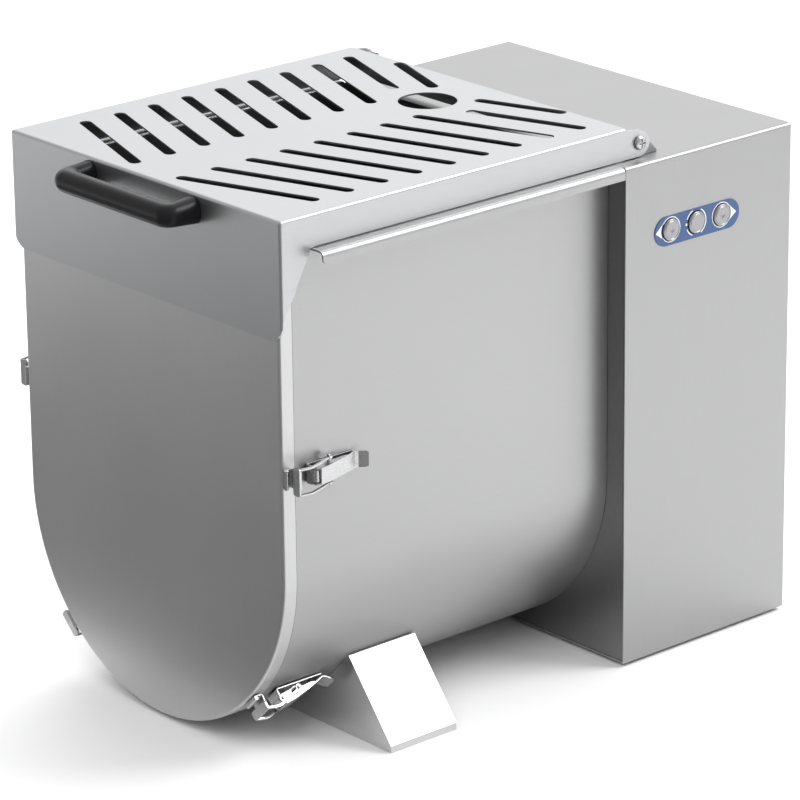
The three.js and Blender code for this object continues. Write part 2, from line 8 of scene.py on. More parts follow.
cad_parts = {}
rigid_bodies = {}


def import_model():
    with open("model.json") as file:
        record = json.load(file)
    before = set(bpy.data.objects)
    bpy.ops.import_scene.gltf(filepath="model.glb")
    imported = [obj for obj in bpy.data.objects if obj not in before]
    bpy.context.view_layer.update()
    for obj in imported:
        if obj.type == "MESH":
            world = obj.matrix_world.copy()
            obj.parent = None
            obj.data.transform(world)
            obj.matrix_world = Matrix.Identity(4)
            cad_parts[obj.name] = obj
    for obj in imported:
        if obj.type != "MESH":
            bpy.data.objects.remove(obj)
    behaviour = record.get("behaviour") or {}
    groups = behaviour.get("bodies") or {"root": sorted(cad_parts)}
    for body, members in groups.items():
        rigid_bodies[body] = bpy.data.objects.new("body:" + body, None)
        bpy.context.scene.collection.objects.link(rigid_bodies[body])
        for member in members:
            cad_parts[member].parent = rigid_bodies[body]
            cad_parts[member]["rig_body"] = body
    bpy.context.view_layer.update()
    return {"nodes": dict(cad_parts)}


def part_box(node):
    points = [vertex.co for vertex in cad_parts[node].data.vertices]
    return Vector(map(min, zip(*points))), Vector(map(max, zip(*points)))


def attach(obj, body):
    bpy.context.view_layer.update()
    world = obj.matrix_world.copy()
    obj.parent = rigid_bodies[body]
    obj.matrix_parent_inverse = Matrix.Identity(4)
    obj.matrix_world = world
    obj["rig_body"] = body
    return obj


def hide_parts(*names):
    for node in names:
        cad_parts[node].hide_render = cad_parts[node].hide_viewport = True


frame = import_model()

NODES = frame["nodes"]

# ------------------------------------------------------------------ layout
# Working coordinates are millimetres: x = 0 at the housing's trough side, y = 0 at the trough's
# centre plane, z = 0 on the bench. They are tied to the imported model's own boxes.
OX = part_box("housing_wrap")[0].x
OY = (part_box("trough")[0].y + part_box("trough")[1].y) / 2


def W(p):
    return Vector((OX + p[0] * 0.001, OY + p[1] * 0.001, p[2] * 0.001))


R_TROUGH, AXIS_Z = 168.8, 172.2
HOUSE_Y0, HOUSE_Y1, HOUSE_X1, HOUSE_TOP = -190.0, 170.0, 196.0, 450.0
LID_X0, LID_X1, LID_HALF, LID_TOP, LID_LOW = -362.0, 13.0, 175.7, 478.5, 376.5
HINGE_X, HINGE_Z = 29.0, 463.0
HANDLE_Z = 464.0
BUTTON_X, BUTTON_Z = (52.0, 82.0, 112.0), 385.5
LABEL_Z = 384.6
FOOT_X0, FOOT_X1 = -265.8, -193.2

# ------------------------------------------------------------------ materials


def new_material(name, base, rough, metallic=0.0):
    m = bpy.data.materials.new(name)
    m.use_nodes = True
    nt = m.node_tree
    b = nt.nodes["Principled BSDF"]
    b.inputs["Base Color"].default_value = (*base, 1)
    b.inputs["Roughness"].default_value = rough
    b.inputs["Metallic"].default_value = metallic
    return m, nt, b


def object_coords(nt, scale):
    tc = nt.nodes.new("ShaderNodeTexCoord")
    mp = nt.nodes.new("ShaderNodeMapping")
    mp.inputs["Scale"].default_value = scale
    nt.links.new(tc.outputs["Object"], mp.inputs["Vector"])
    return mp.outputs["Vector"]


def noise(nt, vector, scale, detail=2.0, rough=0.5):
    n = nt.nodes.new("ShaderNodeTexNoise")
    n.inputs["Scale"].default_value = scale
    n.inputs["Detail"].default_value = detail
    n.inputs["Roughness"].default_value = rough
    nt.links.new(vector, n.inputs["Vector"])
    return n.outputs["Fac"]


def remap(nt, value, lo, hi, a=0.3, b=0.7):
    r = nt.nodes.new("ShaderNodeMapRange")
    r.inputs["From Min"].default_value = a
    r.inputs["From Max"].default_value = b
    r.inputs["To Min"].default_value = lo
    r.inputs["To Max"].default_value = hi
    nt.links.new(value, r.inputs["Value"])
    return r.outputs["Result"]


def ramp(nt, value, c0, c1, p0=0.3, p1=0.7):
    r = nt.nodes.new("ShaderNodeValToRGB")
    r.color_ramp.elements[0].position, r.color_ramp.elements[1].position = p0, p1
    r.color_ramp.elements[0].color = (*c0, 1)
    r.color_ramp.elements[1].color = (*c1, 1)
    nt.links.new(value, r.inputs["Fac"])
    return r.outputs["Color"]


def math_node(nt, op, a, b):
    n = nt.nodes.new("ShaderNodeMath")
    n.operation = op
    for i, v in enumerate((a, b)):
        if isinstance(v, (int, float)):
            n.inputs[i].default_value = v
        else:
            nt.links.new(v, n.inputs[i])
    return n.outputs[0]


def bump(nt, bsdf, height, distance, strength=1.0):
    n = nt.nodes.new("ShaderNodeBump")
    n.inputs["Distance"].default_value = distance
    n.inputs["Strength"].default_value = strength
    nt.links.new(height, n.inputs["Height"])
    nt.links.new(n.outputs["Normal"], bsdf.inputs["Normal"])


def sheet_steel(name, base, rough, grain, spread=0.05):
    """Satin-brushed stainless: fine lines along one axis, and faint wide handling marks."""
    m, nt, b = new_material(name, base, rough, 1.0)
    across, along = 1500.0, 26.0
    scale = {"X": (along, across, across), "Y": (across, along, across), "Z": (across, across, along)}[grain]
    fine = noise(nt, object_coords(nt, scale), 1.0, 3.0, 0.6)
    wide = noise(nt, object_coords(nt, (1, 1, 1)), 9.0, 3.0, 0.55)
    both = math_node(nt, "ADD", math_node(nt, "MULTIPLY", fine, 0.55), math_node(nt, "MULTIPLY", wide, 0.45))
    nt.links.new(remap(nt, both, rough - spread, rough + spread), b.inputs["Roughness"])
    dark = tuple(c * 0.955 for c in base)
    light = tuple(min(1, c * 1.035) for c in base)
    nt.links.new(ramp(nt, both, dark, light), b.inputs["Base Color"])
    bump(nt, b, fine, 0.000012, 0.5)
    return m


def bright_steel(name, base, rough):
    """Drawn, nearly polished stainless with fine drawing lines and small scuffs."""
    m, nt, b = new_material(name, base, rough, 1.0)
    fine = noise(nt, object_coords(nt, (300, 1400, 1400)), 1.0, 2.0)
    scuff = noise(nt, object_coords(nt, (1, 1, 1)), 160.0, 4.0, 0.65)
    nt.links.new(remap(nt, scuff, rough - 0.06, rough + 0.09), b.inputs["Roughness"])
    nt.links.new(ramp(nt, fine, tuple(c * 0.93 for c in base), base), b.inputs["Base Color"])
    bump(nt, b, fine, 0.00001, 0.4)
    return m


def grainy(name, base, rough, scale, depth, tint=0.2, metallic=0.0):
    """Moulded, cast or painted surface: fine texture in colour, gloss and relief."""
    m, nt, b = new_material(name, base, rough, metallic)
    v = object_coords(nt, (1, 1, 1))
    fine = noise(nt, v, scale, 3.0, 0.6)
    wide = noise(nt, v, 14.0, 3.0)
    nt.links.new(remap(nt, math_node(nt, "MULTIPLY", math_node(nt, "ADD", fine, wide), 0.5), rough - 0.07, rough + 0.07), b.inputs["Roughness"])
    nt.links.new(ramp(nt, fine, tuple(c * (1 - tint) for c in base), tuple(min(1, c * (1 + tint)) for c in base)), b.inputs["Base Color"])
    bump(nt, b, fine, depth, 0.6)
    return m


def spun_face(name, base, rough):
    """Turned button face: fine concentric rings about the button's own axis (local z)."""
    m, nt, b = new_material(name, base, rough, 1.0)
    w = nt.nodes.new("ShaderNodeTexWave")
    w.wave_type, w.rings_direction = "RINGS", "Z"
    w.inputs["Scale"].default_value = 420.0
    w.inputs["Distortion"].default_value = 0.6
    w.inputs["Detail"].default_value = 2.0
    nt.links.new(object_coords(nt, (1, 1, 1)), w.inputs["Vector"])
    nt.links.new(remap(nt, w.outputs["Fac"], rough - 0.05, rough + 0.1, 0, 1), b.inputs["Roughness"])
    nt.links.new(ramp(nt, w.outputs["Fac"], tuple(c * 0.82 for c in base), base, 0, 1), b.inputs["Base Color"])
    bump(nt, b, w.outputs["Fac"], 0.00003, 0.6)
    return m


MAT = {
    "lid": sheet_steel("lid_brushed", (0.50, 0.505, 0.512), 0.40, "X"),
    # the trough and housing are the same brushed stainless as the lid; their darker base colours are painted shade
    "trough": sheet_steel("trough_brushed", (0.405, 0.405, 0.407), 0.41, "X"),
    "panel": sheet_steel("panel_brushed", (0.56, 0.56, 0.562), 0.42, "Z"),
    # housing base colour kept darker than the lid's as painted shade
    "house": sheet_steel("housing_brushed", (0.375, 0.375, 0.377), 0.42, "Z"),
    "foot": sheet_steel("foot_brushed", (0.64, 0.64, 0.64), 0.34, "Y"),
    "bright": bright_steel("polished_stainless", (0.53, 0.53, 0.535), 0.29),
    # rougher stainless for the bulkhead and hinge brackets; its dark base colour is painted shade
    "matt_shaded": bright_steel("matt_shaded_stainless", (0.26, 0.26, 0.265), 0.38),
    "spun": spun_face("spun_stainless", (0.36, 0.36, 0.37), 0.30),
    "machined": grainy("machined_steel", (0.42, 0.43, 0.44), 0.34, 900, 0.00001, 0.1, 1.0),
    "iron": grainy("cast_iron", (0.17, 0.18, 0.19), 0.55, 700, 0.00012, 0.25, 0.7),
    "black": grainy("satin_black_plastic", (0.006, 0.006, 0.007), 0.31, 1500, 0.00002, 0.3),
    "rubber": grainy("black_rubber", (0.022, 0.022, 0.022), 0.78, 1200, 0.00004, 0.3),
    "nylon": grainy("natural_nylon", (0.80, 0.78, 0.73), 0.5, 500, 0.00002, 0.04),
    "paint": grainy("machine_enamel", (0.055, 0.065, 0.075), 0.42, 420, 0.00003, 0.12),
    "label": grainy("label_film", (0.035, 0.085, 0.21), 0.38, 1800, 0.000006, 0.08),
    "ink": grainy("label_print_white", (0.82, 0.83, 0.84), 0.42, 1800, 0.000006, 0.03),
    "can": grainy("plain_aluminium", (0.68, 0.68, 0.68), 0.38, 800, 0.00001, 0.06, 1.0),
}

for slot in ("black",):
    for node in MAT[slot].node_tree.nodes:
        if node.type == "BSDF_PRINCIPLED":
            node.inputs["Specular IOR Level"].default_value = 0.24

# ------------------------------------------------------------------ mesh helpers


def build(name, verts, faces, mat):
    me = bpy.data.meshes.new(name)
    me.from_pydata([W(v) for v in verts], [], faces)
    me.validate()
    bm = bmesh.new()
    bm.from_mesh(me)
    bmesh.ops.remove_doubles(bm, verts=bm.verts, dist=1e-7)
    bmesh.ops.recalc_face_normals(bm, faces=bm.faces)
    bm.to_mesh(me)
    bm.free()
    ob = bpy.data.objects.new(name, me)
    bpy.context.scene.collection.objects.link(ob)
    me.materials.append(mat)
    return ob


def bake_modifiers(ob):
    dg = bpy.context.evaluated_depsgraph_get()
    me = bpy.data.meshes.new_from_object(ob.evaluated_get(dg))
    old = ob.data
    ob.modifiers.clear()
    ob.data = me
    bpy.data.meshes.remove(old)
    return ob


def bevel(ob, width, segments=2, angle=32):
    if width > 0:
        m = ob.modifiers.new("edge", "BEVEL")
        m.width, m.segments, m.limit_method = width * 0.001, segments, "ANGLE"
        m.angle_limit = math.radians(angle)
        m.use_clamp_overlap = True
        bake_modifiers(ob)
    return ob


def shade(ob, angle=36):
    ob.data.shade_smooth()
    ob.data.set_sharp_from_angle(angle=math.radians(angle))
    w = ob.modifiers.new("weighted", "WEIGHTED_NORMAL")
    w.keep_sharp = True
    bake_modifiers(ob)
    return ob


def combine(name, *obs):
    """Several meshes of one piece as one object."""
    bm = bmesh.new()
    mats = []
    for o in obs:
        first = len(bm.faces)
        bm.from_mesh(o.data)
        bm.faces.ensure_lookup_table()
        slots = []
        for m in o.data.materials:
            if m not in mats:
                mats.append(m)
            slots.append(mats.index(m))
        for f in bm.faces[first:]:
            f.material_index = slots[f.material_index] if slots else 0
    me = bpy.data.meshes.new(name)
    bm.to_mesh(me)
    bm.free()
    for m in mats:
        me.materials.append(m)
    for o in obs:
        bpy.data.objects.remove(o)
    ob = bpy.data.objects.new(name, me)
    bpy.context.scene.collection.objects.link(ob)
    return ob


def boolean(ob, cutters, op="DIFFERENCE"):
    for c in cutters:
        m = ob.modifiers.new("cut", "BOOLEAN")
        m.operation, m.solver, m.object = op, "EXACT", c
        bake_modifiers(ob)
    for c in cutters:
        bpy.data.objects.remove(c)
    return ob


def fillet(points, radii, step=12.0):
    """An open path with its corners rounded."""
    out = []
    n = len(points)
    for i, p in enumerate(points):
        r = radii[i] if isinstance(radii, (list, tuple)) else radii
        p = Vector(p)
        if i in (0, n - 1) or r <= 0:
            out.append(p)
            continue
        a = (Vector(points[i - 1]) - p).normalized()
        b = (Vector(points[i + 1]) - p).normalized()
        turn = math.pi - a.angle(b)
        if turn < 1e-3:
            out.append(p)
            continue
        t = r * math.tan(turn / 2)
        centre = p + (a + b).normalized() * (r / math.cos(turn / 2))
        s, e = p + a * t - centre, p + b * t - centre
        k = max(2, int(math.ceil(math.degrees(turn) / step)))
        for j in range(k + 1):
            f = j / k
            w0 = math.sin((1 - f) * turn) / math.sin(turn)
            w1 = math.sin(f * turn) / math.sin(turn)
            out.append(centre + s * w0 + e * w1)
    return out


def offset(path, d):
    out = []
    for i, p in enumerate(path):
        a = (p - path[i - 1]).normalized() if i else None
        b = (path[i + 1] - p).normalized() if i + 1 < len(path) else None
        a = a or b
        b = b or a
        na, nb = Vector((-a.y, a.x)), Vector((-b.y, b.x))
        m = (na + nb).normalized()
        out.append(p + m * (d / max(0.3, m.dot(na))))
    return out


AXES = {
    "X": lambda u, v, w: (w, u, v),  # outline (y, z) along x
    "Y": lambda u, v, w: (u, w, v),  # outline (x, z) along y
    "Z": lambda u, v, w: (u, v, w),  # outline (x, y) along z
}


def ribbon(name, path, thick, lo, hi, axis, mat, place=None):
    """Sheet of one thickness bent along a path and carried along an axis."""
    f = place or AXES[axis]
    l, r = offset(path, thick / 2), offset(path, -thick / 2)
    n = len(path)
    verts = [f(p.x, p.y, w) for w in (lo, hi) for side in (l, r) for p in side]
    A, B, C, D = 0, n, 2 * n, 3 * n
    faces = []
    for i in range(n - 1):
        faces += [(A + i, A + i + 1, B + i + 1, B + i), (C + i, D + i, D + i + 1, C + i + 1),
                  (A + i, C + i, C + i + 1, A + i + 1), (B + i, B + i + 1, D + i + 1, D + i)]
    faces += [(A, B, D, C), (A + n - 1, C + n - 1, D + n - 1, B + n - 1)]
    return build(name, verts, faces, mat)


def prism(name, outline, lo, hi, axis, mat, place=None):
    f = place or AXES[axis]
    n = len(outline)
    verts = [f(p[0], p[1], w) for w in (lo, hi) for p in outline]
    faces = [tuple(range(n)), tuple(range(2 * n - 1, n - 1, -1))]
    faces += [(i, (i + 1) % n, n + (i + 1) % n, n + i) for i in range(n)]
    return build(name, verts, faces, mat)


def round_loop(points, radii, step=15.0):
    """A closed outline with rounded corners."""
    n = len(points)
    out = []
    for i in range(n):
        r = radii[i] if isinstance(radii, (list, tuple)) else radii
        out += fillet([points[i - 1], points[i], points[(i + 1) % n]], [0, r, 0], step)[1:-1]
    return [(p.x, p.y) for p in out]


def cuboid(name, x0, x1, y0, y1, z0, z1, mat):
    return prism(name, [(x0, y0), (x1, y0), (x1, y1), (x0, y1)], z0, z1, "Z", mat)


def lathe(name, profile, frame_at, mat, segments=48):
    """Profile of (along, radius) turned about frame_at's axis: frame_at(a, r cos, r sin)."""
    verts, faces, rows = [], [], []
    for a, r in profile:
        if r < 1e-6:
            rows.append([len(verts)])
            verts.append(frame_at(a, 0, 0))
        else:
            rows.append(list(range(len(verts), len(verts) + segments)))
            for k in range(segments):
                q = 2 * math.pi * k / segments
                verts.append(frame_at(a, r * math.cos(q), r * math.sin(q)))
    for p, q in zip(rows, rows[1:]):
        for k in range(segments):
            k2 = (k + 1) % segments
            if len(p) == 1 and len(q) == 1:
                continue
            if len(p) == 1:
                faces.append((p[0], q[k2], q[k]))
            elif len(q) == 1:
                faces.append((p[k], p[k2], q[0]))
            else:
                faces.append((p[k], p[k2], q[k2], q[k]))
    if len(rows[0]) > 1 and profile[0] != profile[-1]:
        faces.append(tuple(rows[0]))
    if len(rows[-1]) > 1 and profile[0] != profile[-1]:
        faces.append(tuple(reversed(rows[-1])))
    return build(name, verts, faces, mat)


def arc_points(cx, cy, r, a0, a1, n):
    return [(cx + r * math.cos(math.radians(a0 + (a1 - a0) * i / n)), cy + r * math.sin(math.radians(a0 + (a1 - a0) * i / n))) for i in range(n + 1)]


def done(ob, body, nodes):
    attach(ob, body)
    if nodes:
        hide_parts(*nodes)
    return ob


def refine(node, mat, width=0.4, segments=2, name=None, angle=38):
    """A detailed copy of a CAD solid, with its edges eased and its curves shaded as curves."""
    src = NODES[node]
    body = src["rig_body"]
    me = src.data.copy()
    bm = bmesh.new()
    bm.from_mesh(me)
    bmesh.ops.remove_doubles(bm, verts=bm.verts, dist=2e-6)
    bmesh.ops.dissolve_limit(bm, angle_limit=math.radians(1.0), verts=bm.verts, edges=bm.edges)
    bmesh.ops.recalc_face_normals(bm, faces=bm.faces)
    for f in bm.faces:
        f.material_index = 0
    bm.to_mesh(me)
    bm.free()
    for a in [a.name for a in me.attributes if a.name == "custom_normal"]:
        me.attributes.remove(me.attributes[a])
    me.materials.clear()
    me.materials.append(mat)
    ob = bpy.data.objects.new(name or node + "_finished", me)
    bpy.context.scene.collection.objects.link(ob)
    bevel(ob, width, segments, angle)
    shade(ob, 40)
    return done(ob, body, [node])


# ------------------------------------------------------------------ camera, light, floor
cam_data = bpy.data.cameras.new("camera")
cam = bpy.data.objects.new("camera", cam_data)
bpy.context.scene.collection.objects.link(cam)
cam_data.sensor_width, cam_data.lens = 36.0, 4659.78 * 36.0 / 800.0
cam_data.clip_start, cam_data.clip_end = 0.05, 60
az, el, roll = math.radians(-41.020), math.radians(19.839), math.radians(-0.667)
back = Vector((math.sin(az) * math.cos(el), -math.cos(az) * math.cos(el), math.sin(el)))
right = Vector((math.cos(az), math.sin(az), 0))
up = back.cross(right)
R_ = right * math.cos(roll) + up * math.sin(roll)
U_ = -right * math.sin(roll) + up * math.cos(roll)
cam.matrix_world = Matrix(((R_.x, U_.x, back.x, 0), (R_.y, U_.y, back.y, 0), (R_.z, U_.z, back.z, 0), (0, 0, 0, 1)))
cam.location = W((-2574.5, -2860.2, 1584.2))
bpy.context.scene.camera = cam
bpy.context.scene.view_settings.view_transform = "Standard"

world = bpy.data.worlds.new("studio")
bpy.context.scene.world = world
world.use_nodes = True
wt = world.node_tree
bg = wt.nodes["Background"]
tc = wt.nodes.new("ShaderNodeTexCoord")
dot = wt.nodes.new("ShaderNodeVectorMath")
dot.operation = "DOT_PRODUCT"
dot.inputs[1].default_value = Vector((0.72, 0.25, 0.25)).normalized()
wt.links.new(tc.outputs["Generated"], dot.inputs[0])
cr = wt.nodes.new("ShaderNodeValToRGB")
cr.color_ramp.elements[0].position, cr.color_ramp.elements[1].position = 0.1, 0.94
cr.color_ramp.elements[0].color = (0.42, 0.42, 0.425, 1)
cr.color_ramp.elements[1].color = (1.58, 1.58, 1.585, 1)
stop = cr.color_ramp.elements.new(0.74)
stop.color = (0.84, 0.84, 0.845, 1)
half = wt.nodes.new("ShaderNodeMath")
half.operation = "MULTIPLY_ADD"
half.inputs[1].default_value, half.inputs[2].default_value = 0.5, 0.5
wt.links.new(dot.outputs["Value"], half.inputs[0])
wt.links.new(half.outputs[0], cr.inputs["Fac"])
wt.links.new(cr.outputs["Color"], bg.inputs["Color"])
bg.inputs["Strength"].default_value = 1.0


def area(name, at, to, size, watts):
    d = bpy.data.lights.new(name, "AREA")
    d.shape, d.size, d.energy = "DISK", size, watts
    o = bpy.data.objects.new(name, d)
    bpy.context.scene.collection.objects.link(o)
    o.location = at
    o.rotation_euler = (Vector(to) - Vector(at)).to_track_quat("-Z", "Y").to_euler()
    return o


def floor_only(o):
    """A light for the floor and the matt pieces, which doesn't show as a glare in the metal."""
    o.visible_glossy = False
    return o


area("key_soft", (1.9, -1.6, 2.4), (0.2, 0.1, 0.1), 1.8, 60)
floor_only(area("back_soft", (1.2, 1.6, 2.6), (0.4, 0.4, 0.0), 2.6, 60))
floor_only(area("left_soft", (-1.9, -1.1, 2.4), (-0.3, 0.0, 0.0), 2.4, 42))

floor_me = bpy.data.meshes.new("floor")
floor_me.from_pydata([(-14, -14, -0.0004), (14, -14, -0.0004), (14, 14, -0.0004), (-14, 14, -0.0004)], [], [(0, 1, 2, 3)])
floor = bpy.data.objects.new("floor", floor_me)
bpy.context.scene.collection.objects.link(floor)
floor_mat, fnt, fb = new_material("floor_pale", (0.86, 0.86, 0.86), 0.9)
nt_n = noise(fnt, object_coords(fnt, (1, 1, 1)), 3.0, 2.0)
fnt.links.new(ramp(fnt, nt_n, (0.855, 0.855, 0.855), (0.865, 0.865, 0.865)), fb.inputs["Base Color"])
fb.inputs["Specular IOR Level"].default_value = 0.1
floor_me.materials.append(floor_mat)

# a dark studio card beside the machine, seen only in the metal, as a photographer's flag is
flag_me = bpy.data.meshes.new("studio_flag")
flag_me.from_pydata([W((-5000, -5000, 1)), W((-430, -5000, 1)), W((-430, 1120, 1)), W((-5000, 1120, 1))], [], [(0, 1, 2, 3)])
flag = bpy.data.objects.new("studio_flag", flag_me)
bpy.context.scene.collection.objects.link(flag)
flag_mat, _, flag_b = new_material("flag_cloth", (0.15, 0.15, 0.15), 1.0)
flag_me.materials.append(flag_mat)
flag.visible_camera = flag.visible_diffuse = flag.visible_shadow = False

# ------------------------------------------------------------------ trough
T = 1.5
half_u = [(-189.25, 439.5), (-189.25, 449.25), (-168.05, 449.25), (-168.05, AXIS_Z)]
u_arc = arc_points(0, AXIS_Z, R_TROUGH - T / 2, 180, 360, 72)
path = fillet(half_u, [0, 4.2, 2.6, 0]) + [Vector(p) for p in u_arc[1:-1]] + \
    list(reversed([Vector((-p.x, p.y)) for p in fillet(half_u, [0, 4.2, 2.6, 0])]))
trough = ribbon("t", path, T, -345.7, -0.3, "X", MAT["trough"])
front_trim = []
for s in (-1, 1):
    tip = round_loop([(-400, 430), (-330, 430), (-330, 460), (-400, 460)], 0)
    y0, y1 = (168.85, 200) if s > 0 else (-200, -168.85)
    front_trim.append(prism("c", tip, y0, y1, "Y", MAT["trough"]))
    # the rim's lower front corner is rounded off
    corner = [(-330.5, 438), (-325.5, 438), (-325.5, 439.5)] + arc_points(-325.8, 443.7, 4.2, 270, 180, 6) + [(-330.5, 443.7)]
    front_trim.append(prism("c", corner, *((185, 195) if s > 0 else (-195, -185)), "Y", MAT["trough"]))
boolean(trough, front_trim)
end_path = [Vector(p) for p in [(-163.8, 421.5)] + arc_points(0, AXIS_Z, 163.8, 180, 360, 60) + [(163.8, 421.5)]]
flange = ribbon("f", end_path, 8.2, -345.7, -344.2, "X", MAT["trough"])
bevel(trough, 0.3, 2, 50)
bevel(flange, 0.25, 2, 50)
trough = combine("trough_shell", trough, flange)
shade(trough)
done(trough, "frame", ["trough"])

# ------------------------------------------------------------------ end panel


def u_path(inset, top, n=72):
    r = R_TROUGH - inset
    return [(-r, top)] + [(-r, AXIS_Z + (top - AXIS_Z) * (1 - k / 4)) for k in range(1, 4)] + \
        arc_points(0, AXIS_Z, r, 180, 360, n) + [(r, AXIS_Z + (top - AXIS_Z) * k / 4) for k in range(1, 4)] + [(r, top)]


PX0, PX1, PTOP = -359.5, -346.0, 446.0
prof = [(PX0, 2.8)] + [(PX0 + 2.8 - 2.8 * math.sin(q), 2.8 - 2.8 * math.cos(q)) for q in [math.pi / 2 * (1 - k / 6) for k in range(1, 7)]]
prof += [(PX1, 0.0), (PX1, 1.5), (PX0 + 2.8, 1.5)]
prof += [(PX0 + 2.8 - 0.8 * math.sin(q), 2.3 - 0.8 * math.cos(q)) for q in [math.pi / 2 * k / 3 for k in range(1, 4)]]
prof = [(x, max(0.0, i)) for x, i in prof]
rows = [[(x, y, z) for y, z in u_path(i, PTOP)] for x, i in prof]
n = len(rows[0])
verts = [p for row in rows for p in row]
faces = []
for j in range(len(rows) - 1):
    for i in range(n - 1):
        a = j * n + i
        faces.append((a, a + 1, a + n + 1, a + n))
last = (len(rows) - 1) * n
faces += [tuple(range(n)), tuple(range(last + n - 1, last - 1, -1))]
faces.append(tuple([j * n for j in range(len(rows))] + [j * n + n - 1 for j in range(len(rows) - 1, -1, -1)]))
panel = build("end_panel_pressed", verts, faces, MAT["panel"])
shade(panel, 50)
done(panel, "frame", ["end_panel"])

# ------------------------------------------------------------------ lid
outer = cuboid("lid_sheet", LID_X0, 46, -LID_HALF, LID_HALF, 360, LID_TOP, MAT["lid"])


def bevel_edges(ob, radius, pick, segments=5):
    bm = bmesh.new()
    bm.from_mesh(ob.data)
    edges = [e for e in bm.edges if pick(*[v.co for v in e.verts])]
    bmesh.ops.bevel(bm, geom=edges, offset=radius * 0.001, segments=segments, profile=0.5, affect="EDGES", clamp_overlap=True)
    bm.to_mesh(ob.data)
    bm.free()


def near(a, b):
    return abs(a - b) < 1e-5


def lid_bends(top_z, x_front, half_w):
    tz, xf, y0, y1 = top_z * 0.001, W((x_front, 0, 0)).x, W((0, -half_w, 0)).y, W((0, half_w, 0)).y

    def pick(a, b):
        top = near(a.z, tz) and near(b.z, tz)
        front = near(a.x, xf) and near(b.x, xf)
        side = (near(a.y, y0) and near(b.y, y0)) or (near(a.y, y1) and near(b.y, y1))
        return (top and front) or (top and side) or (front and side)
    return pick


bevel_edges(outer, 2.6, lid_bends(LID_TOP, LID_X0, LID_HALF))
inner = cuboid("c", LID_X0 + T, 60, -LID_HALF + T, LID_HALF - T, 340, LID_TOP - T, MAT["lid"])
bevel_edges(inner, 1.1, lid_bends(LID_TOP - T, LID_X0 + T, LID_HALF - T), 3)
ear = arc_points(HINGE_X, HINGE_Z, 12.2, -90, 2, 12)
under = [(LID_X0 + T + 0.1, 330), (LID_X0 + T + 0.1, 394.9), (-348, 415), (-345.6, 421.5), (-332, 447), (-330.4, 450.2), (-325, 451)] + \
    [(HINGE_X - 12, 451)] + ear[1:] + [(60, 463.5), (60, 330)]
above = [(LID_X1, 500), (LID_X1, 476.4)] + [(p.x, p.y) for p in fillet([(LID_X1, 476.4), (30, 474.3), (36.2, 471.6), (41.2, 463.4)], [0, 6, 6, 0])[1:]] + [(60, 463.4), (60, 500)]
cutters = [inner, prism("c", under, -200, 200, "Y", MAT["lid"]), prism("c", above, -200, 200, "Y", MAT["lid"])]
for s in (-1, 1):
    c = [(s * 190, 360), (s * 190, LID_LOW + 16)] + [(s * p[0], p[1]) for p in arc_points(LID_HALF - 16, LID_LOW + 16, 16, 0, -90, 10)] + [(s * (LID_HALF - 16), 360)]
    cutters.append(prism("c", c, -370, -355, "X", MAT["lid"]))
cutters.append(cuboid("c", -370, -355, -LID_HALF + 15.9, LID_HALF - 15.9, 350, LID_LOW, MAT["lid"]))
slots = []
tilt = math.tan(math.radians(17.2))
for k in range(10):
    xa, ya, yb = -304 + 36.4 * k, 153.0, 25.5
    if k == 8:
        yb = 45.5
    if k == 9:
        xa, ya = 7.0, 108.2
    xb = xa - (ya - yb) * tilt
    for s in (-1, 1):
        a, b = Vector((xa, s * (ya - 5.25))), Vector((xb, s * (yb + 5.25)))
        t = math.degrees(math.atan2(b.y - a.y, b.x - a.x))
        loop = arc_points(a.x, a.y, 5.25, t + 90, t + 270, 10) + arc_points(b.x, b.y, 5.25, t - 90, t + 90, 10)
        slots.append(prism("c", loop, 470, 485, "Z", MAT["lid"]))
slots.append(prism("c", arc_points(-51.5, 0, 25.5, 0, 352.5, 47), 470, 485, "Z", MAT["lid"]))
cutters.append(combine("c", *slots))
for y in (-68, 68):
    cutters.append(prism("c", [(y + p[0], HANDLE_Z + p[1]) for p in arc_points(0, 0, 3.4, 0, 345, 23)], -368, -355, "X", MAT["lid"]))
cutters.append(prism("c", arc_points(HINGE_X, HINGE_Z, 4.3, 0, 345, 23), -200, 200, "Y", MAT["lid"]))
lid = boolean(outer, cutters)
bevel(lid, 0.3, 2, 50)
rear_flange = cuboid("f", LID_X1 - T, LID_X1, -LID_HALF + T - 0.2, LID_HALF - T + 0.2, 453.5, LID_TOP - 0.8, MAT["lid"])
bevel(rear_flange, 0.25, 2, 50)
lid = combine("lid_sheet", lid, rear_flange)
shade(lid, 40)
done(lid, "lid", ["lid"])

# ------------------------------------------------------------------ handle
H, PG = LID_X0 - 0.3, -389.0
sect = []
for k in range(32):
    q = 2 * math.pi * k / 32
    c, s = math.cos(q), math.sin(q)
    a = 9.0 * math.copysign(abs(c) ** (0.66 if c < 0 else 1.0), c)
    z = 10.6 * math.copysign(abs(s) ** 0.95, s)
    sect.append((a, z))
stations = [(H, -68.0, 1.0, 0.0), (H - 5, -68.0, 1.0, 0.0), (H - 12, -68.0, 1.0, 0.0)]
for k in range(9):
    q = math.pi / 2 * k / 8
    stations.append((PG + 8.5 - 8.5 * math.sin(q), -59.5 - 8.5 * math.cos(q), (9 + 9 * math.cos(q)) / 18, (9 + 9 * math.sin(q)) / 18))
stations += [(PG, -30.0, 0.0, 1.0)]
stations += [(x, -y, -c, s) for x, y, c, s in reversed(stations)]
verts, faces = [], []
for x, y, c, s in stations:
    flare = max(0.0, 1 - (H - x) / 20.0)
    for a, z in sect:
        verts.append((x - s * a * (1 + 0.06 * flare), y - c * a * (1 + 0.06 * flare), HANDLE_Z + z * (0.92 + 0.17 * flare)))
dense = stations
m = len(sect)
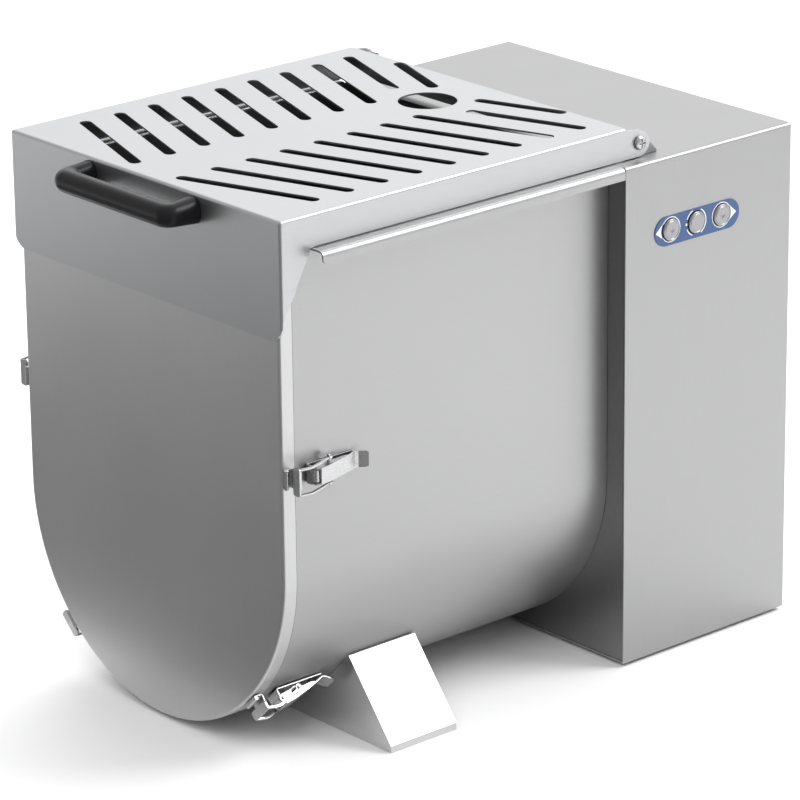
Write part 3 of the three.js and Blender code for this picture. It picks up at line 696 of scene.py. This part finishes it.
for j in range(len(dense) - 1):
    for i in range(m):
        i2 = (i + 1) % m
        faces.append((j * m + i, j * m + i2, (j + 1) * m + i2, (j + 1) * m + i))
faces += [tuple(range(m)), tuple(range(len(dense) * m - 1, (len(dense) - 1) * m - 1, -1))]
handle = build("handle_moulding", verts, faces, MAT["black"])
bevel(handle, 0.4, 2, 60)
shade(handle, 50)
done(handle, "lid", ["lid_handle"])

# ------------------------------------------------------------------ housing
wrap_path = fillet([(HOUSE_Y0 + T / 2, 3), (HOUSE_Y0 + T / 2, HOUSE_TOP - T / 2), (HOUSE_Y1 - T / 2, HOUSE_TOP - T / 2), (HOUSE_Y1 - T / 2, 3)], [0, 2.4, 2.4, 0])
wrap = ribbon("housing_sheet", wrap_path, T, 0, HOUSE_X1, "X", MAT["house"])
boolean(wrap, [prism("c", arc_points(x, BUTTON_Z, 10.2, 0, 352, 44), -200, -180, "Y", MAT["house"]) for x in BUTTON_X])
bevel(wrap, 0.45, 3, 50)
shade(wrap, 40)
done(wrap, "frame", ["housing_wrap"])
# the bulkhead takes the rougher stainless whose dark base colour is painted shade
for node, w in (("bulkhead", 0.4), ("rear_cover", 0.3), ("base_plate", 0.4)):
    refine(node, MAT["matt_shaded" if node == "bulkhead" else "house"], w)

# label with generic direction marks
label_loop = arc_points(46.5, LABEL_Z, 13, 90, 270, 20) + arc_points(120.5, LABEL_Z, 13, -90, 90, 20)
label = prism("label_plate", label_loop, HOUSE_Y0 - 0.7, HOUSE_Y0 - 0.2, "Y", MAT["label"])
boolean(label, [prism("c", arc_points(x, BUTTON_Z, 10.2, 0, 352, 44), -200, -180, "Y", MAT["label"]) for x in BUTTON_X])
bevel(label, 0.12, 2, 50)
marks = []
IY0, IY1 = HOUSE_Y0 - 0.82, HOUSE_Y0 - 0.66


def band(cx, r, a0, a1, w):
    o = arc_points(cx, BUTTON_Z, r + w / 2, a0, a1, 14)
    i = arc_points(cx, BUTTON_Z, r - w / 2, a1, a0, 14)
    return prism("m", o + i, IY0, IY1, "Y", MAT["ink"])


# a ring with a pointed end round each outer button, and arcs beside the middle one
for cx, way in ((BUTTON_X[0], -1), (BUTTON_X[2], 1)):
    mid = 180 if way < 0 else 0
    marks.append(band(cx, 11.0, mid + 34, mid + 326, 0.8))
    tip = cx + way * 17.6
    wedge = [(tip, BUTTON_Z - 0.6)] + [(cx + way * 11.4 * math.cos(math.radians(q)), BUTTON_Z + 11.4 * math.sin(math.radians(q))) for q in (36, 24, 12, 0, -12, -24, -36)]
    marks.append(prism("m", wedge, IY0, IY1, "Y", MAT["ink"]))
marks.append(band(BUTTON_X[1], 11.6, 112, 158, 0.9))
marks.append(band(BUTTON_X[1], 11.6, 202, 248, 0.9))
marks.append(prism("m", [(69.6, BUTTON_Z - 1.0), (71.4, BUTTON_Z - 1.0), (71.4, BUTTON_Z + 1.0), (69.6, BUTTON_Z + 1.0)], IY0, IY1, "Y", MAT["ink"]))
marks.append(band(BUTTON_X[1], 11.6, -62, 62, 0.9))
label = combine("label_plate", label, *marks)
shade(label, 40)
done(label, "frame", ["control_label"])

for i, (x, nm) in enumerate(zip(BUTTON_X, ("forward", "stop", "reverse"))):
    face = [(-192.8, 0.0)] if nm == "stop" else [(-192.0, 0.0), (-192.1, 1.2), (-192.6, 2.2)]
    prof = face + [(-192.8, 2.8), (-192.75, 7.4), (-192.4, 7.8), (-192.75, 8.3), (-192.66, 8.9), (-192.3, 9.4), (-191.7, 9.7), (-187.0, 9.7), (-187.0, 4.0), (-183.5, 4.0), (-183.5, 0.0)]
    c = lathe("button_cap_" + nm, prof, lambda a, u, v, x=x: (x + u, a, BUTTON_Z + v), MAT["spun"], 56)
    # own axis along local z, so that the turning marks are centred on the button
    o = W((x, -190, BUTTON_Z))
    rot = Matrix.Rotation(math.radians(90), 4, "X")
    place = Matrix.Translation(o) @ rot
    c.data.transform(place.inverted())
    c.matrix_world = place
    shade(c, 40)
    done(c, "button_" + nm, ["button_" + nm])
    refine("switch_" + nm, MAT["black"], 0.4)

# ------------------------------------------------------------------ hinge
for side, s in (("near", -1), ("far", 1)):
    # hinge brackets in the rougher stainless, darkened with painted shade
    refine(f"hinge_bracket_{side}", MAT["matt_shaded"], 0.35)
    y_face = s * (LID_HALF + 0.3)
    dirn = s

    def at(a, u, v, y_face=y_face, dirn=dirn):
        return (HINGE_X + u, y_face + dirn * a, HINGE_Z + v)
    head = lathe("h", [(0, 0), (0, 6.25), (1.2, 6.2), (2.2, 5.6), (2.9, 4.4), (3.3, 2.6), (3.4, 0)], at, MAT["bright"], 36)
    y_lo, y_hi = sorted((y_face + s * 1.7, y_face + s * 5))
    cross = [prism("c", [(HINGE_X - 4, HINGE_Z - .65), (HINGE_X + 4, HINGE_Z - .65), (HINGE_X + 4, HINGE_Z + .65), (HINGE_X - 4, HINGE_Z + .65)], y_lo, y_hi, "Y", MAT["bright"]),
             prism("c", [(HINGE_X - .65, HINGE_Z - 4), (HINGE_X + .65, HINGE_Z - 4), (HINGE_X + .65, HINGE_Z + 4), (HINGE_X - .65, HINGE_Z + 4)], y_lo, y_hi, "Y", MAT["bright"])]
    boolean(head, cross)
    shank = lathe("s", [(0, 0), (0, 4), (12, 4), (12, 0)], lambda a, u, v, yf=y_face, s=s: (HINGE_X + u, yf - s * a, HINGE_Z + v), MAT["bright"], 24)
    nut_at = 7.0 if s < 0 else 10.3
    nut = lathe("n", [(0, 0), (0, 6.0), (0.4, 6.5), (4.1, 6.5), (4.5, 6.0), (4.5, 0)], lambda a, u, v, yf=y_face, s=s, k=nut_at + 0.8: (HINGE_X + u, yf - s * (a + k), HINGE_Z + v), MAT["bright"], 6)
    hs = combine(f"pivot_screw_{side}", head, shank, nut)
    shade(hs, 40)
    done(hs, "frame", [f"hinge_screw_{side}"])
    refine(f"handle_screw_{side}", MAT["bright"], 0.2)

# ------------------------------------------------------------------ latches


def latch(name, degrees, y, z):
    a = math.radians(degrees)
    ca, sa = math.cos(a), math.sin(a)

    def put(u, v, w):
        return (-316 + u, y + v * ca - w * sa, z + v * sa + w * ca)
    M = MAT["bright"]
    # base: strip rolled round the lever's pin
    strip = ribbon("b", fillet([(30, 1.25), (-18.6, 1.25), (-18.6, 8.6)], [0, 1.6, 0]), 1.4, -8, 8, None, M, put)
    knuckle = lathe("k", [(-5.2, 0), (-5.2, 3.3), (-4.9, 3.6), (4.9, 3.6), (5.2, 3.3), (5.2, 0)], lambda t, p, q: put(-16 + p, 10 + q, t), M, 28)
    pin = lathe("p", [(-8.6, 0), (-8.6, 1.2), (-8.2, 1.6), (8.2, 1.6), (8.6, 1.2), (8.6, 0)], lambda t, p, q: put(-16 + p, 10 + q, t), M, 20)
    rivet = lathe("r", [(1.9, 0), (1.9, 3.0), (2.6, 2.7), (3.2, 1.6), (3.4, 0)], lambda t, p, q: put(22 + p, t, q), M, 20)
    for o in (strip,):
        bevel(o, 0.25, 2, 40)
    b = combine("latch_plate_" + name, strip, knuckle, pin, rivet)
    shade(b, 40)
    done(b, "frame", ["latch_base_" + name])
    # lever: sloping channel with a flared, rounded finger tip
    back = fillet([(-15, 15.0), (-3.8, 13.35), (12.2, 9.35), (24.2, 5.6), (30.2, 3.5), (33.3, 4.7), (40.2, 9.9)], [0, 8, 10, 8, 2, 2, 0], 9.0)
    top = ribbon("l", back, 1.35, -7.2, 7.2, None, M, put)
    corners = []
    for g in (-1, 1):
        corner = [(46.0, g * 12.0), (46.0, g * 2.9)] + arc_points(36.8, g * 2.9, 4.3, 0, g * 90, 7) + [(36.8, g * 12.0)]
        corners.append(prism("c", corner, 0.0, 20.0, None, M, lambda u, w, t: put(u, t, w)))
    boolean(top, corners)
    wing = [(-19.7, 10), (-18.6, 7.2), (-15, 6.2), (-6, 5), (-2.6, 3.8), (0, 3.3), (3, 4.1), (8, 5.6), (17, 4.7), (23, 5.4), (12.2, 9.2), (-3.8, 13.3), (-15, 15.0), (-18.4, 13)]
    wing = round_loop(wing, [1.5, 1.5, 1.5, 2, 1.2, 1.5, 1.5, 2, 2, 0.6, 0.5, 0.5, 0.8, 1.5])
    sides = [prism("w", wing, lo, hi, None, M, put) for lo, hi in ((5.8, 7.2), (-7.2, -5.8))]
    rod = lathe("p", [(-13.4, 0), (-13.4, 1.1), (-13.0, 1.5), (13.0, 1.5), (13.4, 1.1), (13.4, 0)], lambda t, p, q: put(p, 7 + q, t), M, 20)
    for o in [top] + sides:
        bevel(o, 0.3, 2, 40)
    lever = combine("latch_handle_" + name, top, *sides, rod)
    shade(lever, 40)
    done(lever, "lever_" + name, ["latch_lever_" + name])
    # bail: flat strip on two bowed arms
    arm = fillet([(-37.7, 9.2), (-37.7, 14.8), (-26, 16.8), (-12, 12.4), (-1.2, 8.2)], [0, 2.2, 12, 20, 0], 9.0)
    arms = [ribbon("a", arm, 2.3, lo, hi, None, M, put) for lo, hi in ((10.0, 11.8), (-11.8, -10.0))]
    eyes = [lathe("e", [(lo, 0), (lo, 2.9), (lo + 0.2, 3.1), (lo + 1.6, 3.1), (lo + 1.8, 2.9), (lo + 1.8, 0)], lambda t, p, q: put(p, 7 + q, t), M, 24) for lo in (10.0, -11.8)]
    strap = prism("s", round_loop([(-11.8, 8.0), (11.8, 8.0), (11.8, 16.2), (-11.8, 16.2)], 1.6), 0, 1.8, None, M, lambda w, v, t: put(-38.6 + t, v, w))
    for o in arms + [strap]:
        bevel(o, 0.3, 2, 40)
    bail = combine("latch_bow_" + name, strap, *arms, *eyes)
    shade(bail, 40)
    done(bail, "bail_" + name, ["latch_bail_" + name])
    # keeper: rolled lip at the panel's edge and an upright hook
    up = ribbon("u", fillet([(-42.4, 1.2), (-34.2, 1.2), (-34.9, 8.0), (-34.2, 13.3)], [0, 1.2, 6, 0], 9.0), 1.3, -8.2, 8.2, None, M, put)
    lip = lathe("l", [(-8.2, 0), (-8.2, 1.7), (-7.9, 2.0), (7.9, 2.0), (8.2, 1.7), (8.2, 0)], lambda t, p, q: put(-41.1 + p, 3.1 + q, t), M, 24)
    bevel(up, 0.25, 2, 40)
    k = combine("latch_hook_" + name, up, lip)
    shade(k, 40)
    done(k, "frame", ["latch_keeper_" + name])


low = R_TROUGH * math.sin(math.radians(45))
latch("upper_near", 180, -R_TROUGH, 260)
latch("upper_far", 0, R_TROUGH, 260)
latch("lower_near", -135, -low, AXIS_Z - low)
latch("lower_far", -45, low, AXIS_Z - low)

# ------------------------------------------------------------------ foot, feet, drive and the rest
refine("saddle_foot", MAT["foot"], 0.5, 3)
for node in ("front_near", "front_far", "rear_near", "rear_far"):
    refine("rubber_foot_" + node, MAT["rubber"], 0.5)
refine("panel_gasket", MAT["rubber"], 0.5)
refine("panel_bush", MAT["nylon"], 0.4)
refine("shaft_seal", MAT["rubber"], 0.6)
refine("cable_gland", MAT["black"], 0.4)
refine("mixing_shaft", MAT["bright"], 0.8, 3)
refine("bearing_housing", MAT["iron"], 0.8)
refine("drive_shaft", MAT["machined"], 0.5)
refine("main_gear", MAT["machined"], 0.3)
refine("pinion", MAT["machined"], 0.3)
refine("gearbox", MAT["paint"], 2.0, 3)
refine("motor", MAT["paint"], 1.5, 3)
refine("contactor", MAT["black"], 1.2, 3)
refine("capacitor", MAT["can"], 1.2, 3)
